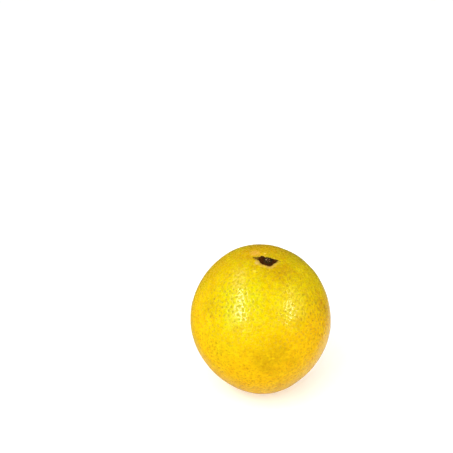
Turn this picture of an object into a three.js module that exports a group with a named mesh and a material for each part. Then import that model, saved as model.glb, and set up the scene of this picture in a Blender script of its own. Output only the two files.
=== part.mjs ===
// An orange as picked: the round fruit in its dimpled peel, and the dried five-pointed calyx with the
// stub of its stalk, still sitting in the shallow dip at the top.
//
// Millimetres, +Z up. The fruit stands on the small flat spot that its own weight presses into the peel.
// The origin is on that flat, under the middle of the fruit's bounding box.

import * as THREE from "three";
import { ParametricGeometry } from "three/addons/geometries/ParametricGeometry.js";
import { mergeVertices } from "three/addons/utils/BufferGeometryUtils.js";

// Driving dimensions.
const HALF_WIDTH = 37.5; // across, left to right
const HALF_DEPTH = 37.2; // across, front to back
const HALF_HEIGHT = 40.4; // from the fruit's middle to its top, before the dip and the swellings
const MIDDLE_ABOVE_FLAT = 39.5; // the fruit's middle above the flat spot that it rests on

// Where the peel swells (+) or is flatter (-), as a grown fruit does.
const SWELLINGS = [
  { toward: [0.95, 0.14, 0.29], by: -0.7 },
  { toward: [-0.26, 0.56, 0.79], by: 0.6 },
  { toward: [-0.98, -0.17, -0.08], by: 0.5 },
  { toward: [-0.67, -0.54, -0.52], by: -0.5 },
  { toward: [0.03, -0.7, -0.71], by: 0.8 },
  { toward: [0.74, -0.49, -0.46], by: -0.6 },
  { toward: [0.35, 0.93, -0.05], by: 0.5 },
  { toward: [-0.55, 0.76, -0.35], by: -0.4 },
];
const SWELLING_TIGHTNESS = 9; // 9 makes a swelling that fades out about 40 degrees from its middle

// The stem end: a shallow dip, with low furrows running out of it. The stem's axis leans a little, to the
// right and to the front. The lean is its part along X and along Y, as shares of its length.
const STEM_LEAN = [0.061, -0.072];
const DIP_DEPTH = 0.9;
const DIP_RADIUS = 6.5;
const FURROWS = 7;
const FURROW_DEPTH = 0.16;
const FURROW_REACH = 13; // the furrows are deepest this far from the stem's axis

// The calyx: five pointed lobes round the stub of the stalk.
const LOBES = [
  { azimuth: 8, reach: 5.2 },
  { azimuth: 82, reach: 4.4 },
  { azimuth: 136, reach: 5.4 },
  { azimuth: 214, reach: 4.7 },
  { azimuth: 284, reach: 4.5 },
];
const LOBE_NOTCH = 0.36; // how far the outline comes in between two points, as a share of their reach
const CALYX_GAP = 0.3; // the calyx lies this far off the peel
const LOBE_EDGE = 0.25; // thickness at a lobe's edge
const LOBE_ROOT = 0.8; // thickness where a lobe meets the stub
const STUB_RADIUS = 2.0;
const STUB_HEIGHT = 1.9; // the cut end above the peel
const STUB_SHOULDER = 0.9; // the shares of its radius and of its height at which the stub rounds over
const STUB_TOP = 0.8; // radius of the cut end, as a share of the stub's
const STUB_HOLLOW = 0.45; // how far the pith has shrunk into the cut end
const HOLLOW_EDGE = 0.55; // radius of that hollow at its edge, as a share of the stub's
const HOLLOW_FLOOR = 0.35; // and at its floor

// How finely the surfaces are divided.
const FRUIT_COLUMNS = 54;
const FRUIT_RINGS = 34;
const RING_CROWDING = 1.2; // above 1 the rings lie closer together near the stem
const CALYX_COLUMNS = 60;
const HALVINGS = 40; // steps in finding the edge of the flat
const MERGE_DISTANCE = 1e-4; // corners closer than this are one

const vector = (x, y, z) => new THREE.Vector3(x, y, z);

// The stem's axis and two directions square to it, the first of them to the right.
const stemAxis = vector(...STEM_LEAN, Math.sqrt(1 - Math.hypot(...STEM_LEAN) ** 2));
const stemRight = vector(1, 0, 0).addScaledVector(stemAxis, -stemAxis.x).normalize();
const stemBack = stemAxis.clone().cross(stemRight);

// How far the peel is from the fruit's middle in a direction, which is a unit vector.
function peelRadius(direction) {
  let radius = 1 / Math.hypot(direction.x / HALF_WIDTH, direction.y / HALF_DEPTH, direction.z / HALF_HEIGHT);
  for (const { toward, by } of SWELLINGS) {
    const away = 1 - direction.dot(vector(...toward).normalize());
    radius += by * Math.exp(-SWELLING_TIGHTNESS * away);
  }
  return radius - stemDip(direction);
}

// How far the stem end is sunk there: the dip, and the furrows round it.
function stemDip(direction) {
  const fromStem = direction.angleTo(stemAxis) * HALF_HEIGHT;
  const azimuth = Math.atan2(direction.dot(stemBack), direction.dot(stemRight));
  const dip = DIP_DEPTH * Math.exp(-((fromStem / DIP_RADIUS) ** 2));
  const out = fromStem / FURROW_REACH;
  const furrow = out * out * Math.exp(1 - out * out) * FURROW_DEPTH;
  return dip + furrow * Math.cos(FURROWS * azimuth);
}

// A direction by its angle down from straight up and its azimuth.
function towards(polar, azimuth) {
  return vector(Math.sin(polar) * Math.cos(azimuth), Math.sin(polar) * Math.sin(azimuth), Math.cos(polar));
}

// The angle down at which the peel meets the flat on that azimuth, found by halving.
function flatEdge(azimuth) {
  let above = Math.PI / 2;
  let below = Math.PI;
  for (let step = 0; step < HALVINGS; step++) {
    const polar = (above + below) / 2;
    const direction = towards(polar, azimuth);
    if (direction.z * peelRadius(direction) > -MIDDLE_ABOVE_FLAT) above = polar;
    else below = polar;
  }
  return above;
}

// A closed mesh: shared corners merged, and the triangles that shrink to nothing at a pole left out.
function closedMesh(name, geometry, material) {
  geometry.deleteAttribute("normal");
  geometry.deleteAttribute("uv");
  const merged = mergeVertices(geometry, MERGE_DISTANCE);
  const corners = merged.index.array;
  const kept = [];
  for (let i = 0; i < corners.length; i += 3) {
    const [a, b, c] = corners.slice(i, i + 3);
    if (a !== b && b !== c && c !== a) kept.push(a, b, c);
  }
  merged.setIndex(kept);
  merged.computeVertexNormals();
  const mesh = new THREE.Mesh(merged, material);
  mesh.name = name;
  return mesh;
}

// The fruit: rings from the top down to the edge of the flat, then the flat itself. The columns run
// clockwise, which turns the faces outwards.
function makeFruit() {
  const place = (u, v, point) => {
    const azimuth = (1 - u) * 2 * Math.PI;
    const ring = Math.round(v * FRUIT_RINGS);
    if (ring === FRUIT_RINGS) {
      point.set(0, 0, 0);
      return;
    }
    const edge = flatEdge(azimuth);
    const direction = towards(edge * (ring / (FRUIT_RINGS - 1)) ** RING_CROWDING, azimuth);
    point.copy(direction).multiplyScalar(peelRadius(direction));
    point.z = ring === FRUIT_RINGS - 1 ? 0 : point.z + MIDDLE_ABOVE_FLAT;
  };
  const peel = new THREE.MeshStandardMaterial({ color: "#f8cd12", roughness: 0.45, metalness: 0 });
  return closedMesh("fruit", new ParametricGeometry(place, FRUIT_COLUMNS, FRUIT_RINGS), peel);
}

// How far the calyx reaches from the stem's axis on an azimuth: straight-sided points with notches between.
function lobeReach(azimuth) {
  const turn = THREE.MathUtils.euclideanModulo(THREE.MathUtils.radToDeg(azimuth) - LOBES[0].azimuth, 360);
  const bearings = LOBES.map((lobe) => lobe.azimuth - LOBES[0].azimuth);
  const here = bearings.findLastIndex((bearing) => bearing <= turn);
  const next = (here + 1) % LOBES.length;
  const span = (next === 0 ? 360 : bearings[next]) - bearings[here];
  const share = (turn - bearings[here]) / span;
  const reach = THREE.MathUtils.lerp(LOBES[here].reach, LOBES[next].reach, share);
  return reach * (1 - LOBE_NOTCH * Math.sin(Math.PI * share));
}

// The calyx's section, from the middle of its underside out round a lobe's edge and back in over the top to
// the middle of the stub's cut end. Each row is a share of the stub's radius, a share of the way from there
// to the lobe's edge, and the height above the peel.
const SECTION = [
  [0, 0, CALYX_GAP],
  [1, 0, CALYX_GAP],
  [1, 0.5, CALYX_GAP],
  [1, 1, CALYX_GAP],
  [1, 1, CALYX_GAP + LOBE_EDGE],
  [1, 0.5, CALYX_GAP + (LOBE_EDGE + LOBE_ROOT) / 2],
  [1, 0, CALYX_GAP + LOBE_ROOT],
  [STUB_SHOULDER, 0, STUB_HEIGHT * STUB_SHOULDER],
  [STUB_TOP, 0, STUB_HEIGHT],
  [HOLLOW_EDGE, 0, STUB_HEIGHT],
  [HOLLOW_FLOOR, 0, STUB_HEIGHT - STUB_HOLLOW],
  [0, 0, STUB_HEIGHT - STUB_HOLLOW],
];

// The calyx and its stub, laid over the stem end.
function makeCalyx() {
  const place = (u, v, point) => {
    const azimuth = u * 2 * Math.PI;
    const [stubShare, lobeShare, height] = SECTION[Math.round(v * (SECTION.length - 1))];
    const lobe = Math.max(lobeReach(azimuth) - STUB_RADIUS, 0);
    const out = (stubShare * STUB_RADIUS + lobeShare * lobe) / HALF_HEIGHT;
    const sideways = vector(0, 0, 0)
      .addScaledVector(stemRight, Math.cos(azimuth))
      .addScaledVector(stemBack, Math.sin(azimuth));
    const direction = stemAxis.clone().multiplyScalar(Math.cos(out)).addScaledVector(sideways, Math.sin(out));
    point.copy(direction).multiplyScalar(peelRadius(direction) + height);
    point.z += MIDDLE_ABOVE_FLAT;
  };
  const dried = new THREE.MeshStandardMaterial({ color: "#3d2009", roughness: 0.8, metalness: 0 });
  return closedMesh("calyx", new ParametricGeometry(place, CALYX_COLUMNS, SECTION.length - 1), dried);
}

const orange = new THREE.Group();
const fruit = makeFruit();
orange.add(fruit, makeCalyx());

// The fruit's bounding box is centred over the origin.
const middle = new THREE.Box3().setFromObject(fruit).getCenter(vector(0, 0, 0));
orange.position.set(-middle.x, -middle.y, 0);

export default orange;
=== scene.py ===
"""A ripe orange as picked: one round fruit in its pitted, waxy peel, and on top of it the dried calyx with
the stub of the stalk.

The scene is in metres, +Z up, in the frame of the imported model. Named sizes are in millimetres, which MM
turns to metres, and angles are in degrees. The peel is grown by a Geometry Nodes tree that casts a fine skin
onto the CAD solid, and the calyx lies on that skin.
"""

import math

import bpy
from mathutils import Euler, Matrix, Vector, noise
from mathutils.bvhtree import BVHTree


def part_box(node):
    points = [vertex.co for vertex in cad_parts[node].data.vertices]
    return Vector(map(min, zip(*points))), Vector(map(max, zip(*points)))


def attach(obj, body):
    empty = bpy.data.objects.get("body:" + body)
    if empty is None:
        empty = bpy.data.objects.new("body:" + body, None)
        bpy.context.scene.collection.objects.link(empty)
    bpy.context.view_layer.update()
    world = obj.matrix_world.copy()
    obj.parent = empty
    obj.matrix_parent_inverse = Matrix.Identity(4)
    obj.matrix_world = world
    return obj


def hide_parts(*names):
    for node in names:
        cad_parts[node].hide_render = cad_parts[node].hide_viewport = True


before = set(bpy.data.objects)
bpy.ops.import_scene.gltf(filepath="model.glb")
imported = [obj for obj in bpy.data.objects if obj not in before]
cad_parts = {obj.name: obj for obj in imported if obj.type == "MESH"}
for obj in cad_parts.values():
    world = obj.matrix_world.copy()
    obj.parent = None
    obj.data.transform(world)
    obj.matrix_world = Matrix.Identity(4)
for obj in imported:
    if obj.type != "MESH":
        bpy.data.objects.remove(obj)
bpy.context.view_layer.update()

MM = 0.001
WHITE = (1.0, 1.0, 1.0, 1.0)
# The kinds of node that the trees are mostly made of.
MATHS = "ShaderNodeMath"
VECTORS = "ShaderNodeVectorMath"
RANGE = "ShaderNodeMapRange"
MIX = "ShaderNodeMix"
NOISE = "ShaderNodeTexNoise"
ATTRIBUTE = "ShaderNodeAttribute"


# ---------------------------------------------------------------------------------------------------------
# Small helpers


def linear(hex_colour):
    """An sRGB hex colour as the linear colour that a shader takes."""
    shares = [int(hex_colour[i : i + 2], 16) / 255 for i in (1, 3, 5)]
    return (*[s / 12.92 if s <= 0.04045 else ((s + 0.055) / 1.055) ** 2.4 for s in shares], 1.0)


def in_use(sockets, key):
    """The socket with this name, or this place, among those that the node's settings leave in use."""
    usable = [socket for socket in sockets if socket.enabled]
    return usable[key] if isinstance(key, int) else next(socket for socket in usable if socket.name == key)


def node(tree, kind, inputs=None, **settings):
    """Adds a node with its settings and fills its inputs: a node or a socket is linked, else it's a value."""
    made = tree.nodes.new(kind)
    for name, value in settings.items():
        setattr(made, name, value)
    for key, value in (inputs or {}).items():
        if isinstance(value, bpy.types.Node):
            value = in_use(value.outputs, 0)
        if isinstance(value, bpy.types.NodeSocket):
            tree.links.new(value, in_use(made.inputs, key))
        else:
            in_use(made.inputs, key).default_value = value
    return made


def new_material(name):
    """A material with an empty node tree."""
    material = bpy.data.materials.new(name)
    material.use_nodes = True
    material.node_tree.nodes.clear()
    return material, material.node_tree


def mesh_object(name, mesh):
    """Links a mesh to the scene as an object at the origin."""
    made = bpy.data.objects.new(name, mesh)
    bpy.context.scene.collection.objects.link(made)
    return made


def new_growth(name, sockets):
    """An empty Geometry Nodes tree with these named inputs, and the sockets they come in by."""
    tree = bpy.data.node_groups.new(name, "GeometryNodeTree")
    tree.interface.new_socket("Geometry", in_out="OUTPUT", socket_type="NodeSocketGeometry")
    for label, kind in sockets.items():
        tree.interface.new_socket(label, in_out="INPUT", socket_type="NodeSocket" + kind)
    return tree, node(tree, "NodeGroupInput").outputs


def grow(name, tree, sizes):
    """Runs a Geometry Nodes tree with these inputs and keeps what it makes as a plain mesh."""
    seed = mesh_object(name + "_seed", bpy.data.meshes.new(name + "_seed"))
    modifier = seed.modifiers.new("growth", "NODES")
    modifier.node_group = tree
    for item in tree.interface.items_tree:
        if item.in_out == "INPUT":
            modifier[item.identifier] = sizes[item.name]
    depsgraph = bpy.context.evaluated_depsgraph_get()
    grown = bpy.data.meshes.new_from_object(
        seed.evaluated_get(depsgraph), preserve_all_data_layers=True, depsgraph=depsgraph
    )
    seed.modifiers.remove(modifier)
    bpy.data.objects.remove(seed)
    grown.name = name
    return mesh_object(name, grown)


# ---------------------------------------------------------------------------------------------------------
# Camera

CAMERA_PLACE = (-18.1, -309.2, 299.0)
LOOKING_DOWN = 33.0  # below level; it faces +Y
SENSOR_WIDTH = 36.0
LENS = 59.4
NEAREST_SEEN = 10


def place_camera():
    """The camera, as high and as far off as the fruit is seen from."""
    data = bpy.data.cameras.new("camera")
    data.sensor_width = SENSOR_WIDTH
    data.lens = LENS
    data.clip_start = NEAREST_SEEN * MM
    camera = bpy.data.objects.new("camera", data)
    camera.location = Vector(CAMERA_PLACE) * MM
    camera.rotation_euler = Euler((math.radians(90 - LOOKING_DOWN), 0, 0))
    bpy.context.scene.collection.objects.link(camera)
    bpy.context.scene.camera = camera


place_camera()


# ---------------------------------------------------------------------------------------------------------
# Where things are on the fruit

CUT_END_DEPTH = 0.5  # the corners of the stub's cut end are no further than this below the calyx's top


def stem_axis(middle):
    """The way the stem points, from the fruit's middle: through the middle of the stub's cut end."""
    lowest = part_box("calyx")[1].z - CUT_END_DEPTH * MM
    cut_end = [v.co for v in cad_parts["calyx"].data.vertices if v.co.z > lowest]
    return (sum(cut_end, Vector()) / len(cut_end) - middle).normalized()


fruit_low, fruit_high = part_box("fruit")
MIDDLE = (fruit_low + fruit_high) / 2
# The stem's way, and the ways to its right and its back. Azimuths run anticlockwise round it from the right.
STEM = stem_axis(MIDDLE)
STEM_RIGHT = (Vector((1, 0, 0)) - STEM * STEM.x).normalized()
STEM_BACK = STEM.cross(STEM_RIGHT)


# ---------------------------------------------------------------------------------------------------------
# The fruit's skin

SKIN_COLUMNS = 126  # quads along each of the skin's six square patches, about half a millimetre each
SKIN_SMOOTHING = 60  # rounds of smoothing, which take the CAD solid's facets off the skin
SKIN_WITHIN = 100  # all of the CAD solid is nearer the fruit's middle than this
LOWEST_PLACE = (-1.0, -1.0, 0.0)  # in metres: the skin stays above the floor, and free to the sides
CREASE_SCALE = 2.6  # of the noise round the stem that makes the creases
# Where the creases are deepest and where they have run out, in times their reach.
CREASE_PEAK = 0.6
CREASE_END = 2.2
SCAR_FLOOR = 0.3  # the radius of the scar's flat bottom


def even_ball(tree, columns):
    """A ball of fine quads. Its corners keep their ways from its middle in the attribute "outward"."""
    rows = node(tree, MATHS, {0: columns, 1: 1.0}, operation="ADD")
    corners = {"Vertices X": rows, "Vertices Y": rows, "Vertices Z": rows}
    cube = node(tree, "GeometryNodeMeshCube", {"Size": (2, 2, 2), **corners})
    place = node(tree, "GeometryNodeInputPosition")
    # The tangent spaces the cube's quads so that they come out alike in size on the ball.
    bent = node(tree, VECTORS, {0: place, "Scale": math.pi / 4}, operation="SCALE")
    bent = node(tree, VECTORS, {0: bent}, operation="TANGENT")
    bent = node(tree, VECTORS, {0: bent}, operation="NORMALIZE")
    ball = node(tree, "GeometryNodeSetPosition", {"Geometry": cube, "Position": bent})
    return node(
        tree, "GeometryNodeStoreNamedAttribute", {"Geometry": ball, "Name": "outward", "Value": place},
        data_type="FLOAT_VECTOR", domain="POINT",
    )


def core_radius(tree, sizes, outward):
    """How far the CAD solid reaches from the fruit's middle, with its facets smoothed away."""
    core = node(tree, "GeometryNodeObjectInfo", {"Object": sizes["Core"]}, transform_space="ORIGINAL")
    cast = node(
        tree,
        "GeometryNodeRaycast",
        {
            "Target Geometry": core.outputs["Geometry"],
            "Source Position": sizes["Middle"],
            "Ray Direction": outward,
            "Ray Length": SKIN_WITHIN * MM,
        },
    )
    return node(
        tree, "GeometryNodeBlurAttribute",
        {"Value": cast.outputs["Hit Distance"], "Iterations": sizes["Smoothing"]},
        data_type="FLOAT",
    )


def lumps(tree, sizes, outward, radius):
    """Broad unevenness of the whole fruit."""
    on_ball = node(tree, VECTORS, {0: outward, "Scale": radius}, operation="SCALE")
    lump_scale = node(tree, MATHS, {0: 1.0, 1: sizes["Lump width"]}, operation="DIVIDE")
    lump = node(
        tree, NOISE, {"Vector": on_ball, "W": sizes["Lump seed"], "Scale": lump_scale, "Detail": 2.0},
        noise_dimensions="4D",
    )
    lump = node(tree, MATHS, {0: lump, 1: 0.5}, operation="SUBTRACT")
    return node(tree, MATHS, {0: lump, 1: sizes["Lump height"]}, operation="MULTIPLY")


def off_pole(tree, from_pole, radius):
    """How far the skin is from the stem or the scar, where from_pole is that on a ball of radius 1."""
    apart = node(tree, VECTORS, {0: from_pole}, operation="LENGTH")
    return node(tree, MATHS, {0: apart, 1: radius}, operation="MULTIPLY")


def puckers(tree, sizes, outward, radius):
    """Creases round the stem, each the same all along a line out from it."""
    from_stem = node(tree, VECTORS, {0: outward, 1: sizes["Stem"]}, operation="SUBTRACT")
    spoke = node(tree, VECTORS, {0: from_stem}, operation="NORMALIZE")
    crease = node(tree, NOISE, {"Vector": spoke, "Scale": CREASE_SCALE, "Detail": 2.0})
    crease = node(tree, MATHS, {0: crease, 1: 0.5}, operation="SUBTRACT")
    off_stem = off_pole(tree, from_stem, radius)
    out = node(tree, MATHS, {0: off_stem, 1: sizes["Pucker reach"]}, operation="DIVIDE")
    rise, fall = (
        node(
            tree, RANGE, {"Value": out, "From Min": flat, "From Max": CREASE_PEAK},
            interpolation_type="SMOOTHSTEP",
        )
        for flat in (0.0, CREASE_END)
    )
    pucker = node(tree, MATHS, {0: rise, 1: fall}, operation="MULTIPLY")
    pucker = node(tree, MATHS, {0: pucker, 1: crease}, operation="MULTIPLY")
    return node(tree, MATHS, {0: pucker, 1: sizes["Pucker depth"]}, operation="MULTIPLY")


def stylar_scar(tree, sizes, outward, radius):
    """The small dent where the flower was, opposite the stem."""
    from_scar = node(tree, VECTORS, {0: outward, 1: sizes["Stem"]}, operation="ADD")
    off_scar = off_pole(tree, from_scar, radius)
    dent = node(
        tree, RANGE, {"Value": off_scar, "From Min": sizes["Scar radius"], "From Max": SCAR_FLOOR * MM},
        interpolation_type="SMOOTHERSTEP",
    )
    dent = node(tree, MATHS, {0: dent, 1: sizes["Scar depth"]}, operation="MULTIPLY")
    return node(tree, VECTORS, {0: outward, "Scale": dent}, operation="SCALE")


def press_glands(tree, sizes, skin, outward):
    """Presses the skin in at every wide oil gland, each a shallow pit of its own width."""
    glands = node(
        tree,
        "GeometryNodeDistributePointsOnFaces",
        {
            "Mesh": skin,
            "Distance Min": sizes["Gland spacing"],
            "Density Max": sizes["Glands per area"],
            "Seed": sizes["Seed"],
        },
        distribute_method="POISSON",
    )
    width = node(
        tree, "FunctionNodeRandomValue",
        {"Min": sizes["Narrowest gland"], "Max": sizes["Widest gland"], "Seed": sizes["Seed"]},
        data_type="FLOAT",
    )
    place = node(tree, "GeometryNodeInputPosition")
    points = glands.outputs["Points"]
    nearest = node(tree, "GeometryNodeSampleNearest", {"Geometry": points}, domain="POINT")
    gland_place = node(
        tree, "GeometryNodeSampleIndex", {"Geometry": points, "Value": place, "Index": nearest},
        data_type="FLOAT_VECTOR",
    )
    gland_width = node(
        tree, "GeometryNodeSampleIndex", {"Geometry": points, "Value": width, "Index": nearest},
        data_type="FLOAT",
    )
    away = node(tree, VECTORS, {0: place, 1: gland_place}, operation="DISTANCE")
    gland_radius = node(tree, MATHS, {0: gland_width, 1: 0.5}, operation="MULTIPLY")
    pit = node(
        tree, RANGE, {"Value": away, "From Min": gland_radius, "From Max": 0.0},
        interpolation_type="SMOOTHSTEP",
    )
    # The peel's finish reads from "gland" how deep in a pit it is.
    skin = node(
        tree, "GeometryNodeStoreNamedAttribute", {"Geometry": skin, "Name": "gland", "Value": pit},
        data_type="FLOAT", domain="POINT",
    )
    gland = node(tree, "GeometryNodeInputNamedAttribute", {"Name": "gland"}, data_type="FLOAT")
    depth = node(tree, MATHS, {0: gland_width, 1: sizes["Gland slope"]}, operation="MULTIPLY")
    depth = node(tree, MATHS, {0: depth, 1: gland}, operation="MULTIPLY")
    pressed = node(tree, VECTORS, {0: outward, "Scale": depth}, operation="SCALE")
    inward = node(tree, VECTORS, {0: pressed, "Scale": -1.0}, operation="SCALE")
    return node(tree, "GeometryNodeSetPosition", {"Geometry": skin, "Offset": inward})


def skin_growth():
    """The tree that grows the skin: a fine ball cast onto the CAD solid, and pressed in at the oil glands."""
    tree, sizes = new_growth(
        "skin_growth",
        {
            "Core": "Object",
            "Middle": "Vector",
            "Stem": "Vector",
            "Columns": "Int",
            "Smoothing": "Int",
            "Lump height": "Float",
            "Lump width": "Float",
            "Lump seed": "Float",
            "Pucker depth": "Float",
            "Pucker reach": "Float",
            "Scar depth": "Float",
            "Scar radius": "Float",
            "Gland spacing": "Float",
            "Glands per area": "Float",
            "Narrowest gland": "Float",
            "Widest gland": "Float",
            "Gland slope": "Float",
            "Seed": "Int",
            "Finish": "Material",
        },
    )
    ball = even_ball(tree, sizes["Columns"])
    outward = node(tree, "GeometryNodeInputNamedAttribute", {"Name": "outward"}, data_type="FLOAT_VECTOR")
    radius = core_radius(tree, sizes, outward)
    lump = lumps(tree, sizes, outward, radius)
    pucker = puckers(tree, sizes, outward, radius)
    relief = node(tree, MATHS, {0: lump, 1: pucker}, operation="ADD")
    uneven = node(tree, MATHS, {0: radius, 1: relief}, operation="ADD")
    place = node(tree, VECTORS, {0: outward, "Scale": uneven}, operation="SCALE")
    place = node(tree, VECTORS, {0: place, 1: sizes["Middle"]}, operation="ADD")
    # The spot that the fruit stands on stays flat, at the floor's height.
    place = node(tree, VECTORS, {0: place, 1: LOWEST_PLACE}, operation="MAXIMUM")
    dent = stylar_scar(tree, sizes, outward, radius)
    place = node(tree, VECTORS, {0: place, 1: dent}, operation="SUBTRACT")
    skin = node(tree, "GeometryNodeSetPosition", {"Geometry": ball, "Position": place})
    pitted = press_glands(tree, sizes, skin, outward)

    whole = node(tree, "GeometryNodeRealizeInstances", {"Geometry": pitted})
    smooth = node(tree, "GeometryNodeSetShadeSmooth", {"Geometry": whole})
    finished = node(tree, "GeometryNodeSetMaterial", {"Geometry": smooth, "Material": sizes["Finish"]})
    node(tree, "NodeGroupOutput", {"Geometry": finished})
    return tree


# ---------------------------------------------------------------------------------------------------------
# The peel's finish

PEEL_YELLOW = "#d7c104"
# Painted light and shade on the pebbles' relief: the pale colour is painted light on their tops, and the
# hollow tint is painted shade between them, besides the grain's random tone.
PEBBLE_TOP_PAINTED_LIGHT = "#fbe004"  # on the tops of the pebbles
CALLUS = "#d9b04e"
# These three darken whatever colour is under them.
OILY_TINT = "#f4e280"  # where the oily layer is thick
HOLLOW_SHADE_AND_GRAIN_TINT = "#ece0a0"  # between the pebbles and in the grain
PORE_TINT = "#c6bc00"  # over the oil glands
WAX_ROUGHNESS = 0.17  # where the wax is rubbed smooth
GLAND_ROUGHNESS = 0.8  # down in the dry glands

# How wide the peel's textures are, from the broadest to the finest.
WANDER_WIDTH = 9
ROLL_WIDTH = 3.5
MOTTLE_WIDTH = 2.6
PEBBLE_WIDTH = 1.3
PORE_WIDTH = 1.25
GRAIN_WIDTH = 0.7
# How high or deep the relief is that the finish adds to the skin's own, as bump.
ROLL_HEIGHT = 0.12
PEBBLE_HEIGHT = 0.14
PORE_DEPTH = 0.18
GRAIN_HEIGHT = 0.012

PORE_STRENGTH = 0.75  # how dark the small oil glands are, beside the wide ones
# Ways from the fruit's middle: to where the glands are painted darkest, as painted shade for the pits that
# the gloss misses, which is where the highlights fall on the two shoulders of the face and on the right
# cheek; and to its ripest part, where they are faintest.
PAINTED_PIT_SHADE_WAYS = ((-0.33, -0.62, 0.71), (0.45, -0.67, 0.6), (0.8, -0.46, 0.39))
RIPEST_WAY = (0.05, -0.92, 0.38)

WANDER_ANGLE = 50  # between the least and the most that the edge of a blush could wander
# Where the ripe yellow gives way to another colour: its name, the way to it from the fruit's middle, how
# many degrees from there it fades out and is full, the colour, and how strongly it shows.
PEEL_BLUSHES = (
    ("golden_foot", (0.35, -0.35, -0.9), 116, 62, "#ebba04", 0.95),
    ("golden_left_cheek", (-1.0, -0.25, 0.05), 52, 18, "#f0c404", 0.75),
    ("golden_right_cheek", (0.93, -0.45, 0.1), 52, 22, "#edbf04", 0.75),
    ("green_back_shoulder", (-0.1, 0.9, 0.4), 62, 12, "#a9a612", 0.75),
    ("olive_crown", (0.3, 0.35, 0.9), 58, 22, "#c5b104", 0.9),
    ("ochre_crown", (0.03, 0.2, 0.98), 24, 8, "#cda504", 0.85),
    ("ochre_left_shoulder", (-0.65, 0.2, 0.72), 34, 8, "#d2ac04", 0.7),
    ("olive_right_shoulder", (0.68, -0.15, 0.72), 30, 8, "#ddc604", 0.6),
    ("hazy_lower_front", (0.06, -0.98, 0.11), 26, 2, "#b99504", 0.6),
    ("ochre_before_calyx", (0.2, -0.28, 0.94), 15, 2, "#bf9304", 0.5),
    ("ochre_left_patch", (-0.71, -0.44, 0.55), 13, 2, "#bfac04", 0.5),
    ("brown_right_scuff", (0.84, -0.27, 0.47), 15, 4, "#dfb604", 0.8),
    # The next two are painted highlight: the yellow is painted greener and less red just where the two soft
    # boxes' highlights fall.
    ("painted_highlight_tint_left_front", (-0.31, -0.6, 0.74), 24, 7, "#d1ce04", 0.8),
    ("painted_highlight_tint_right_front", (0.34, -0.59, 0.74), 19, 5, "#ddcd04", 0.8),
)

PEEL_ROUND = 40.4  # the peel's mean distance from the fruit's middle
MARK_FRAY = 0.06  # how far the edges of the marks wander, beside those of the blushes
MARK_CORE = 0.3  # the share of a mark's radius in which it is full
# Small marks: the name, how far out from the stem over the peel and on which azimuth, the radius, the colour,
# and how strongly it shows.
PEEL_MARKS = (
    ("pale_flake_by_calyx", 5.9, 194, 1.5, "#d0b068", 0.7),
    ("pale_fleck_before_calyx", 10.1, 225, 1.2, "#fbd84a", 0.55),
    ("golden_fleck_behind_calyx", 6.5, 100, 1.2, "#ffdc60", 0.8),
    ("buff_scuff_behind_calyx", 9.3, 131, 3.6, "#dda640", 0.6),
    ("brown_speck_on_shoulder", 11.9, 319, 1.0, "#b98c0a", 0.6),
    ("olive_smudge_on_right_cheek", 33.7, 332, 1.5, "#a58c0c", 0.6),
    ("russet_speck_on_right_cheek", 37.5, 340, 1.3, "#b07410", 0.7),
    ("russet_speck_at_right", 41.2, 342, 1.4, "#a87c08", 0.7),
    ("russet_speck_lower_right", 43.2, 340, 1.3, "#ae7d0c", 0.6),
    ("russet_speck_low_left", 63.8, 227, 0.9, "#cc8a0c", 0.5),
    ("olive_speck_low_left", 59.3, 234, 1.1, "#c09a08", 0.5),
)

CALLUS_END = 1.7  # how far from the calyx the callus ends
CALLUS_FULL = 0.3  # and where it is full
CALLUS_STRENGTH = 0.7
CALLUS_FRAY = 0.05  # how far its edge wanders for each degree that a blush's does


def on_peel(reach, azimuth):
    """The way from the fruit's middle to the place this far from the stem over the peel, on this azimuth."""
    lean, turn = reach / PEEL_ROUND, math.radians(azimuth)
    return STEM * math.cos(lean) + (STEM_RIGHT * math.cos(turn) + STEM_BACK * math.sin(turn)) * math.sin(lean)


def lay_patch(tree, colour, patch, outward, way, wander, name):
    """Lays a round patch over the colour. It says where it fades out and is full, its colour and strength."""
    faded, full, patch_colour, strength = patch
    facing = node(tree, VECTORS, {0: outward, 1: way}, operation="DOT_PRODUCT", label=name)
    angle = node(tree, MATHS, {0: facing}, operation="ARCCOSINE")
    angle = node(tree, MATHS, {0: angle}, operation="DEGREES")
    angle = node(tree, MATHS, {0: angle, 1: wander}, operation="ADD")
    share = node(
        tree, RANGE, {"Value": angle, "From Min": faded, "From Max": full, "To Max": strength},
        interpolation_type="SMOOTHSTEP",
    )
    return node(
        tree, MIX, {"Factor": share, "A": colour, "B": linear(patch_colour)}, data_type="RGBA", label=name
    )


def small_glands(tree, place):
    """The small oil glands between the wide ones: round spots close together, some strong and some faint."""
    cells = node(tree, "ShaderNodeTexVoronoi", {"Vector": place, "Scale": 1 / (PORE_WIDTH * MM)})
    spots = node(
        tree, RANGE, {"Value": cells.outputs["Distance"], "From Min": 0.52, "From Max": 0.05},
        interpolation_type="SMOOTHSTEP",
    )
    strength = node(
        tree, RANGE, {"Value": cells.outputs["Color"], "From Min": 0.2, "From Max": 0.8, "To Min": 0.15}
    )
    return node(tree, MATHS, {0: spots, 1: strength}, operation="MULTIPLY")


def boldness(tree, outward, upness):
    """How clearly hollows and glands show: faint on the ripest part of the face, clear round it, and fainter
    again far from it and on the crown. The ranges are in cosines of the angle from there or from the top."""
    ripest = node(tree, VECTORS, {0: outward, 1: Vector(RIPEST_WAY).normalized()}, operation="DOT_PRODUCT")
    bold = node(tree, RANGE, {"Value": ripest, "From Min": 1.0, "From Max": 0.7, "To Min": 0.38})
    round_back = {"Value": ripest, "From Min": 0.6, "From Max": -0.1, "To Min": 1.0, "To Max": 0.5}
    on_crown = {"Value": upness, "From Min": 0.6, "From Max": 0.9, "To Min": 1.0, "To Max": 0.7}
    for fading in (round_back, on_crown):
        bold = node(tree, MATHS, {0: bold, 1: node(tree, RANGE, fading)}, operation="MULTIPLY")
    return bold


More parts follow.
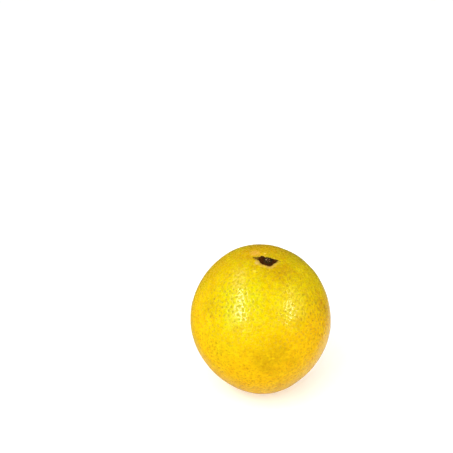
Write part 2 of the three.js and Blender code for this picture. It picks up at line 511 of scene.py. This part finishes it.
def painted_pit_shade(tree, outward):
    """Painted shade on the glands, for their boldness: darkest up to 11 degrees from the ways where the
    highlights fall, and least so from 22 degrees on, which the range has as cosines."""
    facing = -1.0
    for way in PAINTED_PIT_SHADE_WAYS:
        toward = node(tree, VECTORS, {0: outward, 1: Vector(way).normalized()}, operation="DOT_PRODUCT")
        facing = node(tree, MATHS, {0: facing, 1: toward}, operation="MAXIMUM")
    return node(
        tree, RANGE, {"Value": facing, "From Min": 0.93, "From Max": 0.98, "To Min": 0.82, "To Max": 1.3},
        interpolation_type="SMOOTHSTEP",
    )


def peel_finish():
    """Orange peel in its own wax, ripened unevenly: a soft broad gloss that breaks up on the pebbles and the
    oil glands, which are a shade darker than the rest."""
    material, tree = new_material("citrus_peel_natural_wax")
    place = node(tree, "ShaderNodeTexCoord").outputs["Object"]
    from_middle = node(tree, "ShaderNodeMapping", {"Vector": place, "Location": -MIDDLE})
    outward = node(tree, VECTORS, {0: from_middle}, operation="NORMALIZE")
    upness = node(tree, "ShaderNodeSeparateXYZ", {"Vector": outward}).outputs["Z"]

    # The ripening. The edges of its blushes wander by this many degrees.
    wander = node(tree, NOISE, {"Vector": place, "Scale": 1 / (WANDER_WIDTH * MM), "Detail": 5.0})
    wander = node(tree, MATHS, {0: wander, 1: 0.5}, operation="SUBTRACT")
    wander = node(tree, MATHS, {0: wander, 1: WANDER_ANGLE}, operation="MULTIPLY")
    colour = linear(PEEL_YELLOW)
    for name, toward, *blush in PEEL_BLUSHES:
        colour = lay_patch(tree, colour, blush, outward, Vector(toward).normalized(), wander, name)

    # Mottling, as the oily layer is thicker in some places than in others.
    mottle = node(
        tree, NOISE, {"Vector": place, "Scale": 1 / (MOTTLE_WIDTH * MM), "Detail": 4.0, "Roughness": 0.65}
    )
    mottled = node(tree, RANGE, {"Value": mottle, "From Min": 0.42, "From Max": 0.72})
    # Pebbles between the oil glands, with painted light on their tops and painted shade in the hollows,
    # following the pebbles' own bump.
    pebbles = node(tree, NOISE, {"Vector": place, "Scale": 1 / (PEBBLE_WIDTH * MM), "Detail": 1.0})
    tops = node(tree, RANGE, {"Value": pebbles, "From Min": 0.5, "From Max": 0.72, "To Max": 0.25})
    bold = boldness(tree, outward, upness)
    hollows = node(tree, RANGE, {"Value": pebbles, "From Min": 0.5, "From Max": 0.3})
    hollows = node(tree, MATHS, {0: hollows, 1: bold}, operation="MULTIPLY")
    # A fine grain, which the skin's own cells give it.
    grain = node(tree, NOISE, {"Vector": place, "Scale": 1 / (GRAIN_WIDTH * MM), "Detail": 3.0})
    grained = node(tree, RANGE, {"Value": grain, "From Min": 0.42, "From Max": 0.62, "To Max": 0.6})
    # Oil glands: the wide ones are pits in the skin itself, the small ones between them only a bump.
    pores = small_glands(tree, place)
    gland = node(tree, ATTRIBUTE, attribute_name="gland").outputs["Fac"]
    faint_pores = node(tree, MATHS, {0: pores, 1: PORE_STRENGTH}, operation="MULTIPLY")
    glands = node(tree, MATHS, {0: faint_pores, 1: gland}, operation="MAXIMUM")
    # The glands are a shade darker of their own, and near the highlights they are painted darker still:
    # painted shade for the pits that the gloss misses.
    dark_glands = node(tree, MATHS, {0: glands, 1: bold}, operation="MULTIPLY")
    dark_glands = node(tree, MATHS, {0: dark_glands, 1: painted_pit_shade(tree, outward)}, operation="MULTIPLY")
    # Tints laid on: painted light on the pebble tops, painted shade in their hollows, the peel's own mottle
    # and grain, and the glands' own darkness with painted shade near the highlights.
    for share, tint, blend in (
        (mottled, OILY_TINT, "MULTIPLY"),
        (tops, PEBBLE_TOP_PAINTED_LIGHT, "MIX"),
        (hollows, HOLLOW_SHADE_AND_GRAIN_TINT, "MULTIPLY"),
        (grained, HOLLOW_SHADE_AND_GRAIN_TINT, "MULTIPLY"),
        (dark_glands, PORE_TINT, "MULTIPLY"),
    ):
        colour = node(
            tree, MIX, {"Factor": share, "A": colour, "B": linear(tint)}, data_type="RGBA", blend_type=blend
        )

    # Small marks, where the peel was rubbed or a drop dried on it.
    fray = node(tree, MATHS, {0: wander, 1: MARK_FRAY}, operation="MULTIPLY")
    for name, reach, azimuth, radius, mark, strength in PEEL_MARKS:
        edge = math.degrees(radius / PEEL_ROUND)
        patch = (edge, MARK_CORE * edge, mark, strength)
        colour = lay_patch(tree, colour, patch, outward, on_peel(reach, azimuth), fray, name)

    # The callus round the calyx.
    to_calyx = node(tree, ATTRIBUTE, attribute_name="to_calyx").outputs["Fac"]
    ragged = node(tree, MATHS, {0: wander, 1: CALLUS_FRAY * MM}, operation="MULTIPLY")
    to_calyx = node(tree, MATHS, {0: to_calyx, 1: ragged}, operation="ADD")
    callus = node(
        tree, RANGE,
        {
            "Value": to_calyx,
            "From Min": CALLUS_END * MM,
            "From Max": CALLUS_FULL * MM,
            "To Max": CALLUS_STRENGTH,
        },
    )
    colour = node(tree, MIX, {"Factor": callus, "A": colour, "B": linear(CALLUS)}, data_type="RGBA")

    # The relief: small glands, grain and pebbles, and rolls broader than they are.
    rolls = node(tree, NOISE, {"Vector": place, "Scale": 1 / (ROLL_WIDTH * MM), "Detail": 0.0})
    height = 0.0
    for texture, tall in (
        (pores, -PORE_DEPTH),
        (grain, GRAIN_HEIGHT),
        (pebbles, PEBBLE_HEIGHT),
        (rolls, ROLL_HEIGHT),
    ):
        swell = node(tree, MATHS, {0: texture, 1: tall}, operation="MULTIPLY")
        height = node(tree, MATHS, {0: height, 1: swell}, operation="ADD")
    bump = node(tree, "ShaderNodeBump", {"Height": height, "Distance": MM, "Strength": 1.0})

    # The wax is rubbed smooth on the pebbles, and dull down in the glands of the upper half.
    drier = node(tree, RANGE, {"Value": upness, "From Min": 0.2, "From Max": 0.5})
    dull = node(tree, MATHS, {0: glands, 1: drier}, operation="MULTIPLY")
    roughness = node(
        tree, RANGE,
        {
            "Value": dull,
            "From Min": 0.03,
            "From Max": 0.34,
            "To Min": WAX_ROUGHNESS,
            "To Max": GLAND_ROUGHNESS,
        },
    )
    shader = node(
        tree,
        "ShaderNodeBsdfPrincipled",
        {
            "Base Color": colour,
            "Roughness": roughness,
            "IOR": 1.5,
            "Subsurface Weight": 0.12,
            "Subsurface Radius": (1.0, 0.5, 0.15),
            "Subsurface Scale": 2.0 * MM,
            "Normal": bump,
        },
    )
    node(tree, "ShaderNodeOutputMaterial", {"Surface": shader})
    return material


def make_fruit():
    """The whole fruit, which is one piece."""
    fruit = grow(
        "fruit_in_peel",
        skin_growth(),
        {
            "Core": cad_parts["fruit"],
            "Middle": MIDDLE,
            "Stem": STEM,
            "Columns": SKIN_COLUMNS,
            "Smoothing": SKIN_SMOOTHING,
            "Lump height": 0.7 * MM,
            "Lump width": 14 * MM,
            "Lump seed": 9.0,
            "Pucker depth": 0.9 * MM,
            "Pucker reach": 6.0 * MM,
            "Scar depth": 0.5 * MM,
            "Scar radius": 2.2 * MM,
            "Gland spacing": 2.1 * MM,
            "Glands per area": 0.9 / MM**2,
            "Narrowest gland": 1.2 * MM,
            "Widest gland": 2.2 * MM,
            "Gland slope": 0.1,
            "Seed": 11,
            "Finish": peel_finish(),
        },
    )
    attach(fruit, "root")
    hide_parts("fruit")
    return fruit


fruit = make_fruit()


# ---------------------------------------------------------------------------------------------------------
# How the calyx is laid on the peel. Reach is the distance out from the stem's axis.

CROWN_RADIUS = 40.5  # about how far the peel under the calyx is from the fruit's middle
OUTSIDE = 60  # further from the fruit's middle than any of the peel
EVENED_OVER = 0.7  # the peel's height is taken as the mean over a ring this far out, which evens out the pits
EVENING_PLACES = 6  # places on that ring


def across(azimuth, reach):
    """The spot at this azimuth and reach, by how far right and how far back of the stem's axis it is."""
    turn = math.radians(azimuth)
    return Vector((reach * math.cos(turn), reach * math.sin(turn)))


def way_up(spot):
    """The way from the fruit's middle to the peel under a spot."""
    return (STEM * CROWN_RADIUS + STEM_RIGHT * spot.x + STEM_BACK * spot.y).normalized()


def over_peel(skin, spot, height):
    """The place at this spot, and this high above the peel as it would be without its pits."""
    ring = [across(i * 360 / EVENING_PLACES, EVENED_OVER) for i in range(EVENING_PLACES)]
    found = []
    for step in [Vector((0, 0)), *ring]:
        way = way_up(spot + step)
        hit = skin.ray_cast(MIDDLE + way * OUTSIDE * MM, -way)
        found.append((hit[0] - MIDDLE).length)
    return MIDDLE + way_up(spot) * (sum(found) / len(found) + height * MM)


def faces_of(piece):
    """A piece's faces, to cast rays onto and to find the nearest of."""
    mesh = piece.data
    return BVHTree.FromPolygons([v.co for v in mesh.vertices], [p.vertices for p in mesh.polygons])


def ringed_skin(top, rings, bottom, first=0):
    """Corners and faces of a closed skin: a point, rings of equal length round it, and a closing point. The
    faces have first as the place of the first corner."""
    columns = len(rings[0])
    corners = [top] + [corner for ring in rings for corner in ring] + [bottom]
    faces = []
    for i in range(columns):
        j = (i + 1) % columns
        faces.append((first, first + 1 + i, first + 1 + j))
        for k in range(len(rings) - 1):
            row = first + 1 + k * columns
            faces.append((row + i, row + columns + i, row + columns + j, row + j))
        last = first + 1 + (len(rings) - 1) * columns
        faces.append((last + i, first + len(corners) - 1, last + j))
    return corners, faces


def new_piece(name, corners, faces, finish):
    """A smooth piece of the calyx in its finish."""
    mesh = bpy.data.meshes.new(name)
    mesh.from_pydata(corners, [], faces)
    mesh.shade_smooth()
    mesh.materials.append(finish)
    return mesh_object(name, mesh)


def store(piece, name, values):
    """Keeps one number for each corner of a piece, for its material to read."""
    piece.data.attributes.new(name, "FLOAT", "POINT").data.foreach_set("value", values)


def in_order(rings):
    """The numbers of a closed skin's rings in the order of its corners, with 0 at its two end points."""
    return [0.0, *(value for ring in rings for value in ring), 0.0]


def smooth_step(low, high, value):
    """0 up to low, 1 from high, and an even rise between them."""
    share = min(max((value - low) / (high - low), 0.0), 1.0)
    return share * share * (3 - 2 * share)


# ---------------------------------------------------------------------------------------------------------
# The star of dried sepals

# The star's outline, straight between one corner and the next: azimuth and reach.
STAR_CORNERS = (
    (3, 5.6), (17, 4.3), (40, 3.1), (66, 2.5), (91, 2.7), (112, 2.5),
    (121, 3.8), (137, 4.8), (151, 4.6), (157, 8.9), (170, 6.2), (181, 5.1),
    (192, 4.6), (213, 4.7), (249, 3.6), (283, 4.3), (309, 3.65), (341, 3.9),
)
STAR_COLUMNS = 144
# The star's rings, as shares of its reach, crowded towards the edge.
STAR_RINGS = (0.15, 0.3, 0.42, 0.52, 0.6, 0.67, 0.73, 0.79, 0.84, 0.89, 0.93, 0.965, 0.99)
STAR_UNDER = 0.99  # how far out the underside goes, beside the top
# The share by which its outline may run in or out, and the circle and the level that the noise for it is
# taken on.
STAR_RAGGED = 0.05
RAGGED_ROUND = 3
RAGGED_LEVEL = 9.0

# How high its top is above the peel, and how thick it is: in the middle, at the edge, and the share of its
# reach from which it goes from one to the other.
STAR_RISE = (0.75, 0.34, 0.3)
STAR_THICK = (0.8, 0.2, 0.2)
# How high its points curl up, and the reaches between which they rise to that and, where one of them runs out
# in a tail, come down again.
CURL = 0.5
CURL_RISES = (3.2, 5.0)
CURL_FALLS = (5.6, 7.4)
VEIN_AZIMUTHS = (3, 91, 137, 158, 213, 283)  # one down the middle of each sepal, and one into the tail
VEIN_HEIGHT = 0.16
VEIN_WIDTH = 0.4
WRINKLES = ((0.16, 0.9), (0.09, 2.3))  # coarse and fine: their height, and about how many go to a millimetre
WRINKLE_LEVEL = 4.0  # the level that the noise for them is taken on


def star_reach(azimuth):
    """How far the star reaches on an azimuth: where that line crosses the outline."""
    (first_azimuth, first_reach), (last_azimuth, last_reach) = STAR_CORNERS[0], STAR_CORNERS[-1]
    corners = ((last_azimuth - 360, last_reach), *STAR_CORNERS, (first_azimuth + 360, first_reach))
    before, before_reach = max(corner for corner in corners if corner[0] <= azimuth)
    after, after_reach = min(corner for corner in corners if corner[0] > azimuth)
    one, two, here = (math.radians(a) for a in (before, after, azimuth))
    spread = before_reach * math.sin(here - one) + after_reach * math.sin(two - here)
    return before_reach * after_reach * math.sin(two - one) / spread


def to_edge(sizes, share):
    """A size of the star at this share of its reach, on its way from the middle's to the edge's."""
    middle, edge, start = sizes
    return middle + (edge - middle) * smooth_step(start, 1.0, share)


def star_height(reach, share, azimuth):
    """How high the star's top is above the peel: high in the middle, veined, wrinkled, its points curled."""
    curl = CURL * smooth_step(*CURL_RISES, reach) * (1 - smooth_step(*CURL_FALLS, reach))
    vein = 0.0
    for vein_azimuth in VEIN_AZIMUTHS:
        turn = math.radians(azimuth - vein_azimuth)
        aside = reach * math.sin(turn)
        if math.cos(turn) > 0:
            vein = max(vein, VEIN_HEIGHT * math.exp(-((aside / VEIN_WIDTH) ** 2)) * (1 - share**3))
    spot = Vector((*across(azimuth, reach), WRINKLE_LEVEL))
    wrinkle = sum(tall * noise.noise(spot * fineness) for tall, fineness in WRINKLES)
    return to_edge(STAR_RISE, share) + curl + vein + wrinkle


def make_star(skin):
    """The five dried sepals, grown together in the middle, and the thin tail that one of them runs out in."""
    tops, undersides, reaches, shares = [], [], [], []
    for share in STAR_RINGS:
        thick = to_edge(STAR_THICK, share)
        top, underside, ring_reaches = [], [], []
        for i in range(STAR_COLUMNS):
            azimuth = i * 360 / STAR_COLUMNS
            ragged = noise.noise(Vector((*across(azimuth, RAGGED_ROUND), RAGGED_LEVEL)))
            reach = star_reach(azimuth) * share * (1 + STAR_RAGGED * ragged)
            height = star_height(reach, share, azimuth)
            top.append(over_peel(skin, across(azimuth, reach), height))
            underside.append(over_peel(skin, across(azimuth, reach * STAR_UNDER), height - thick))
            ring_reaches.append(reach)
        tops.append(top)
        undersides.append(underside)
        reaches.append(ring_reaches)
        shares.append([share] * STAR_COLUMNS)
    heights = (STAR_RISE[0], STAR_RISE[0] - STAR_THICK[0])
    top, bottom = (over_peel(skin, Vector((0, 0)), height) for height in heights)
    corners, faces = ringed_skin(top, tops + undersides[::-1], bottom)
    star = new_piece("calyx_star", corners, faces, sepal_finish())
    store(star, "reach", in_order(reaches + reaches[::-1]))
    store(star, "edge", in_order(shares + shares[::-1]))
    return star


SEPAL_DARK = "#1d0b01"
SEPAL_LIGHT = "#4c2404"
SEPAL_TAIL = "#7a6212"
SEPAL_MARGIN = "#6a4312"
SEPAL_FIBRE_WIDTH = 0.8
SEPAL_FIBRE_HEIGHT = 0.12


def sepal_finish():
    """Sepals dried to a leathery dark brown: veined, nearly matt, paler and olive where they run out thin."""
    material, tree = new_material("dried_sepal_leathery")
    place = node(tree, "ShaderNodeTexCoord").outputs["Object"]
    fibres = node(tree, NOISE, {"Vector": place, "Scale": 1 / (SEPAL_FIBRE_WIDTH * MM), "Detail": 5.0})
    shade = node(tree, RANGE, {"Value": fibres, "From Min": 0.35, "From Max": 0.68})
    reach = node(tree, ATTRIBUTE, attribute_name="reach").outputs["Fac"]
    tail = node(tree, RANGE, {"Value": reach, "From Min": 4.5, "From Max": 6.0, "To Max": 0.9})
    edge = node(tree, ATTRIBUTE, attribute_name="edge").outputs["Fac"]
    margin = node(tree, RANGE, {"Value": edge, "From Min": 0.9, "From Max": 1.0, "To Max": 0.5})
    colour = linear(SEPAL_DARK)
    for share, layer in ((shade, SEPAL_LIGHT), (tail, SEPAL_TAIL), (margin, SEPAL_MARGIN)):
        colour = node(tree, MIX, {"Factor": share, "A": colour, "B": linear(layer)}, data_type="RGBA")
    height = node(tree, MATHS, {0: fibres, 1: SEPAL_FIBRE_HEIGHT}, operation="MULTIPLY")
    bump = node(tree, "ShaderNodeBump", {"Height": height, "Distance": MM, "Strength": 1.0})
    roughness = node(
        tree, RANGE, {"Value": fibres, "From Min": 0.3, "From Max": 0.7, "To Min": 0.6, "To Max": 0.8}
    )
    shader = node(
        tree, "ShaderNodeBsdfPrincipled",
        {"Base Color": colour, "Roughness": roughness, "IOR": 1.3, "Specular IOR Level": 0.3, "Normal": bump},
    )
    node(tree, "ShaderNodeOutputMaterial", {"Surface": shader})
    return material


# ---------------------------------------------------------------------------------------------------------
# The stub of the stalk

# The stub's section from the middle of its cut end out over the ragged rim and down: reach and height.
STUB_SECTION = (
    (0.4, 0.78), (0.8, 0.8), (1.1, 0.84), (1.32, 0.94), (1.48, 1.08), (1.62, 1.17),
    (1.76, 1.2), (1.9, 1.14), (2.02, 1.02), (2.14, 0.88), (2.3, 0.72), (2.5, 0.5),
)
STUB_COLUMNS = 60
STUB_TOP = 0.76  # the middle of the cut end, above the peel
STUB_BOTTOM = 0.3
# How uneven the stub's height is, and how much more so on its rim, which rises between these reaches.
STUB_UNEVEN = 0.1
RIM_UNEVEN = 0.26
RIM_RISES = (1.2, 1.9)
STUB_RAGGED = 0.07  # the share by which its section may run in or out
# The circle that the noise for both is taken on, and its two finenesses and the shift that keeps them apart.
STUB_NOISE_ROUND = 2.2
RAGGED_FINENESS = 1.3
UNEVEN_FINENESS = 1.6
UNEVEN_SHIFT = Vector((7, 0, 0))

PITH_HOLE = (1.25, 354, 0.5)  # where the pith has rotted out of the cut end: reach, azimuth and radius
PITH_HOLE_DEPTH = 0.35
# Ends of the wood bundles that stand out of the cut end: reach, azimuth and radius.
BUNDLE_ENDS = (
    (0.95, 160, 0.42), (1.3, 318, 0.24), (1.45, 256, 0.24), (0.95, 45, 0.18),
    (1.2, 100, 0.16), (1.25, 210, 0.15), (0.25, 280, 0.16),
)
# A bundle's round end, in times its radius: how far out and how high each ring is, and how high the tip is.
BUNDLE_SECTION = ((0.5, 1.0), (0.85, 0.75), (1.0, 0.2))
BUNDLE_TIP = 1.1
BUNDLE_COLUMNS = 10
BUNDLE_STANDS = 0.78  # where a bundle comes out of the cut end, above the peel
BUNDLE_BOTTOM = 0.6  # and where it ends inside the stub


def bundle_end(skin, reach, azimuth, radius, first):
    """The rounded end of a wood bundle: its corners and faces, with first as the first corner's place."""
    centre = across(azimuth, reach)
    rings = []
    for out, up in BUNDLE_SECTION:
        spots = [centre + across(i * 360 / BUNDLE_COLUMNS, radius * out) for i in range(BUNDLE_COLUMNS)]
        rings.append([over_peel(skin, spot, BUNDLE_STANDS + radius * up) for spot in spots])
    top = over_peel(skin, centre, BUNDLE_STANDS + radius * BUNDLE_TIP)
    return ringed_skin(top, rings, over_peel(skin, centre, BUNDLE_BOTTOM), first)


def make_stub(skin):
    """What is left of the stalk: a low ragged cup with the ends of its wood bundles standing in it."""
    hole_reach, hole_azimuth, hole_radius = PITH_HOLE
    hole = across(hole_azimuth, hole_reach)
    rings, sunk_rings = [], []
    for reach, height in STUB_SECTION:
        uneven = STUB_UNEVEN + RIM_UNEVEN * smooth_step(*RIM_RISES, reach)
        ring, sunk_ring = [], []
        for i in range(STUB_COLUMNS):
            azimuth = i * 360 / STUB_COLUMNS
            spot = Vector((*across(azimuth, STUB_NOISE_ROUND), reach))
            out = reach * (1 + STUB_RAGGED * noise.noise(spot * RAGGED_FINENESS))
            up = height + uneven * noise.noise(spot * UNEVEN_FINENESS + UNEVEN_SHIFT)
            at = across(azimuth, out)
            sunk = math.exp(-(((at - hole).length / hole_radius) ** 2))
            ring.append(over_peel(skin, at, up - PITH_HOLE_DEPTH * sunk))
            sunk_ring.append(sunk)
        rings.append(ring)
        sunk_rings.append(sunk_ring)
    top, bottom = (over_peel(skin, Vector((0, 0)), height) for height in (STUB_TOP, STUB_BOTTOM))
    corners, faces = ringed_skin(top, rings, bottom)
    hollow = in_order(sunk_rings)
    bundle = [0.0] * len(corners)
    for reach, azimuth, radius in BUNDLE_ENDS:
        end_corners, end_faces = bundle_end(skin, reach, azimuth, radius, len(corners))
        corners += end_corners
        faces += end_faces
        hollow += [0.0] * len(end_corners)
        bundle += [1.0] * len(end_corners)
    stub = new_piece("stalk_stub", corners, faces, stub_finish())
    store(stub, "bundle", bundle)
    store(stub, "hollow", hollow)
    return stub


BARK_DARK = "#1a0f01"
BARK_LIGHT = "#3c2a06"
WOOD_BUFF = "#b08f6a"
# The rotted pith's own dark, deepened into painted shade down in the hole.
PITH_HOLE_DARK_AND_SHADE = "#0c0300"
BARK_GRAIN_WIDTH = 0.5
BARK_GRAIN_HEIGHT = 0.14
WOOD_STRENGTH = 0.8  # how strongly the wood's colour shows on the bundles


def stub_finish():
    """The end of a stalk, weathered: dull olive-brown bark, and grey-buff wood where the bundles show."""
    material, tree = new_material("weathered_stalk_end")
    place = node(tree, "ShaderNodeTexCoord").outputs["Object"]
    grain = node(tree, NOISE, {"Vector": place, "Scale": 1 / (BARK_GRAIN_WIDTH * MM), "Detail": 4.0})
    shade = node(tree, RANGE, {"Value": grain, "From Min": 0.35, "From Max": 0.65})
    bundle = node(tree, ATTRIBUTE, attribute_name="bundle").outputs["Fac"]
    wood = node(tree, MATHS, {0: bundle, 1: WOOD_STRENGTH}, operation="MULTIPLY")
    hollow = node(tree, ATTRIBUTE, attribute_name="hollow").outputs["Fac"]
    colour = linear(BARK_DARK)
    # The pith hole is painted near black: partly the pith's own dark, partly painted shade in the hole.
    for share, layer in ((shade, BARK_LIGHT), (wood, WOOD_BUFF), (hollow, PITH_HOLE_DARK_AND_SHADE)):
        colour = node(tree, MIX, {"Factor": share, "A": colour, "B": linear(layer)}, data_type="RGBA")
    height = node(tree, MATHS, {0: grain, 1: BARK_GRAIN_HEIGHT}, operation="MULTIPLY")
    bump = node(tree, "ShaderNodeBump", {"Height": height, "Distance": MM, "Strength": 1.0})
    roughness = node(
        tree, RANGE, {"Value": grain, "From Min": 0.3, "From Max": 0.7, "To Min": 0.7, "To Max": 0.9}
    )
    shader = node(
        tree, "ShaderNodeBsdfPrincipled",
        {"Base Color": colour, "Roughness": roughness, "IOR": 1.3, "Normal": bump},
    )
    node(tree, "ShaderNodeOutputMaterial", {"Surface": shader})
    return material


# ---------------------------------------------------------------------------------------------------------
# The calyx on the fruit

CALLUS_LOOKED_FOR = 12  # the callus is nearer to the star than this
CALLUS_REACH = 6  # past this reach, where only the thin tail is, the callus thins out


def make_calyx(fruit):
    """The calyx's two pieces, laid on the peel, and the peel's distance from them for its callus."""
    skin = faces_of(fruit)
    star, stub = make_star(skin), make_stub(skin)
    for piece in (star, stub):
        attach(piece, "root")
        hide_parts("calyx")
    star_faces = faces_of(star)
    far = CALLUS_LOOKED_FOR * MM
    to_calyx = []
    for vertex in fruit.data.vertices:
        nearest = star_faces.find_nearest(vertex.co, far)[3]
        off_stem = (vertex.co - MIDDLE).cross(STEM).length
        to_calyx.append(far if nearest is None else nearest + max(off_stem - CALLUS_REACH * MM, 0.0))
    store(fruit, "to_calyx", to_calyx)


make_calyx(fruit)


# ---------------------------------------------------------------------------------------------------------
# Floor and light

FLOOR_HALF = 4000  # from its middle to each side
FLOOR_WHITE = "#fbfbfa"
FLOOR_BOUNCE = "#fbfb80"  # what it throws back onto the fruit, as from a table with more fruit on it
FLOOR_GLOW = 0.13  # lifts the shadow, as on a table that is lit through from below
# The peel's gloss shows the floor bright only close round the fruit and behind it, and dim elsewhere.
GLOSS_BRIGHT = "#d4d4d4"
GLOSS_DIM = "#3f3f3f"
BRIGHT_MIDDLE = (20, 42, 0)
BRIGHT_RADIUS = 50  # how far from there it is all bright
BRIGHT_END = 90  # and where that has faded out


def make_floor():
    """A plain pale floor in matt white paint, which has no gloss of its own, wide enough to fill the view."""
    material, tree = new_material("matt_white_paint")
    ray = node(tree, "ShaderNodeLightPath").outputs
    place = node(tree, "ShaderNodeTexCoord").outputs["Object"]
    away = node(tree, VECTORS, {0: place, 1: Vector(BRIGHT_MIDDLE) * MM}, operation="DISTANCE")
    bright = node(tree, RANGE, {"Value": away, "From Min": BRIGHT_END * MM, "From Max": BRIGHT_RADIUS * MM})
    in_gloss = node(
        tree, MIX, {"Factor": bright, "A": linear(GLOSS_DIM), "B": linear(GLOSS_BRIGHT)}, data_type="RGBA"
    )
    colour = linear(FLOOR_WHITE)
    for kind, shown in (("Is Diffuse Ray", linear(FLOOR_BOUNCE)), ("Is Glossy Ray", in_gloss)):
        colour = node(tree, MIX, {"Factor": ray[kind], "A": colour, "B": shown}, data_type="RGBA")
    glow = node(tree, MATHS, {0: ray["Is Camera Ray"], 1: FLOOR_GLOW}, operation="MULTIPLY")
    shader = node(
        tree,
        "ShaderNodeBsdfPrincipled",
        {
            "Base Color": colour,
            "Roughness": 0.8,
            "Specular IOR Level": 0.0,
            "Emission Color": WHITE,
            "Emission Strength": glow,
        },
    )
    node(tree, "ShaderNodeOutputMaterial", {"Surface": shader})
    half = FLOOR_HALF * MM
    corners = [(-half, -half, 0), (half, -half, 0), (half, half, 0), (-half, half, 0)]
    mesh = bpy.data.meshes.new("floor")
    mesh.from_pydata(corners, [], [(0, 1, 2, 3)])
    mesh.materials.append(material)
    floor = mesh_object("floor", mesh)


SOFT_BOX_AWAY = 500  # from the fruit's middle to each soft box
# Each soft box: the way to it from the fruit's middle, the way to its top end, its width and length, and its
# radiance.
SOFT_BOXES = (
    ("left_soft_box", (-0.586, -0.495, 0.641), (-0.563, -0.112, 0.819), 54, 450, 19.0),
    ("left_upper_panel", (-0.538, 0.150, 0.830), (-0.406, 0.429, 0.807), 60, 260, 3.6),
    ("left_low_panel", (-0.707, -0.597, 0.379), (-0.563, -0.112, 0.819), 110, 160, 1.3),
    ("right_soft_box", (0.665, -0.553, 0.502), (0.670, -0.150, 0.727), 18, 240, 36.0),
    ("right_upper_panel", (0.664, -0.150, 0.728), (0.620, 0.150, 0.770), 18, 170, 11.0),
    ("right_wide_panel", (0.834, -0.264, 0.484), (0.800, 0.050, 0.600), 220, 260, 0.4),
)
DOME_LIGHT = 0.85
ROOM_LIGHT = 0.05  # the room as the peel's gloss shows it, where only the soft boxes should stand out


def make_lights():
    """Two tall soft boxes in front of the fruit, with fainter panels by them, under a white dome."""
    for name, toward, top, width, length, radiance in SOFT_BOXES:
        data = bpy.data.lights.new(name, "AREA")
        data.shape = "RECTANGLE"
        data.size = width * MM
        data.size_y = length * MM
        data.energy = radiance * math.pi * data.size * data.size_y
        light = bpy.data.objects.new(name, data)
        back = Vector(toward).normalized()
        up = (Vector(top) - back * back.dot(Vector(top))).normalized()
        turned = Matrix((up.cross(back), up, back)).transposed().to_4x4()
        light.matrix_world = Matrix.Translation(MIDDLE + back * SOFT_BOX_AWAY * MM) @ turned
        light.visible_camera = False
        bpy.context.scene.collection.objects.link(light)

    # The dome lights everything evenly from above, and its light is kept out of the gloss.
    data = bpy.data.lights.new("white_dome", "SUN")
    data.angle = math.pi
    data.energy = DOME_LIGHT * math.pi
    data.cycles.use_multiple_importance_sampling = False
    dome = bpy.data.objects.new("white_dome", data)
    dome.visible_glossy = False
    bpy.context.scene.collection.objects.link(dome)

    world = bpy.data.worlds.new("white_room")
    world.use_nodes = True
    tree = world.node_tree
    tree.nodes.clear()
    seen = node(tree, "ShaderNodeLightPath").outputs["Is Camera Ray"]
    strength = node(tree, RANGE, {"Value": seen, "To Min": ROOM_LIGHT, "To Max": DOME_LIGHT + ROOM_LIGHT})
    room = node(tree, "ShaderNodeBackground", {"Color": WHITE, "Strength": strength})
    node(tree, "ShaderNodeOutputWorld", {"Surface": room})
    bpy.context.scene.world = world
    bpy.context.scene.view_settings.view_transform = "Standard"


make_floor()
make_lights()
